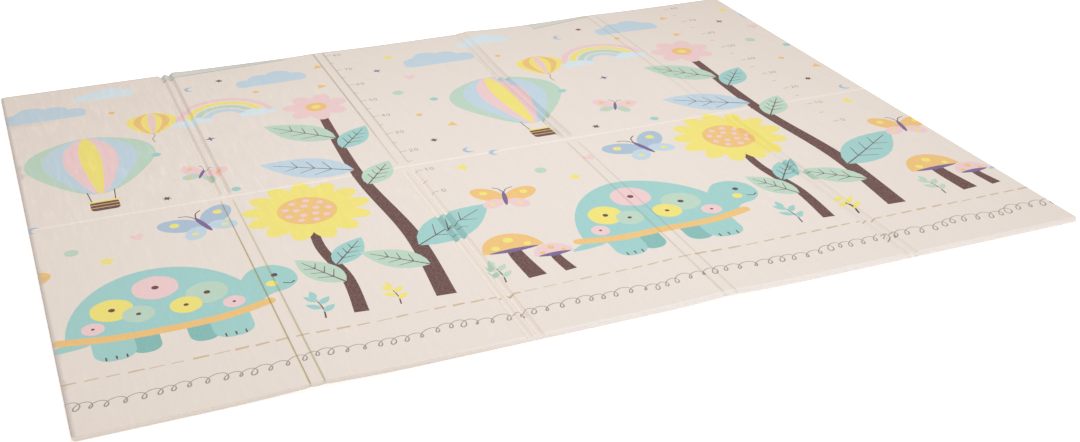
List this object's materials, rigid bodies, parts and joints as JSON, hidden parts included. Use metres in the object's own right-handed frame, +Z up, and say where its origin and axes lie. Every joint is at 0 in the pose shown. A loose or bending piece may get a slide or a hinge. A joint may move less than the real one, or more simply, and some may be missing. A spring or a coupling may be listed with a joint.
{
  "type": "folding baby play mat",
  "caption": "Flat folding foam play mat with a printed film face, pairs of pressed fold grooves and one middle crease, laid out open on the floor.",
  "frame": {"origin": "centre of the mat's underside, on the floor", "axes": "+X along the long side towards the right end, +Y across the mat towards the back edge, +Z up"},
  "size_m": [2, 1.5, 0.0155],
  "materials": {
    "printed_film": "satin film with a fine embossed texture over soft foam"
  },
  "bodies": {
    "root": {"play_mat": "printed_film"}
  },
  "joints": []
}
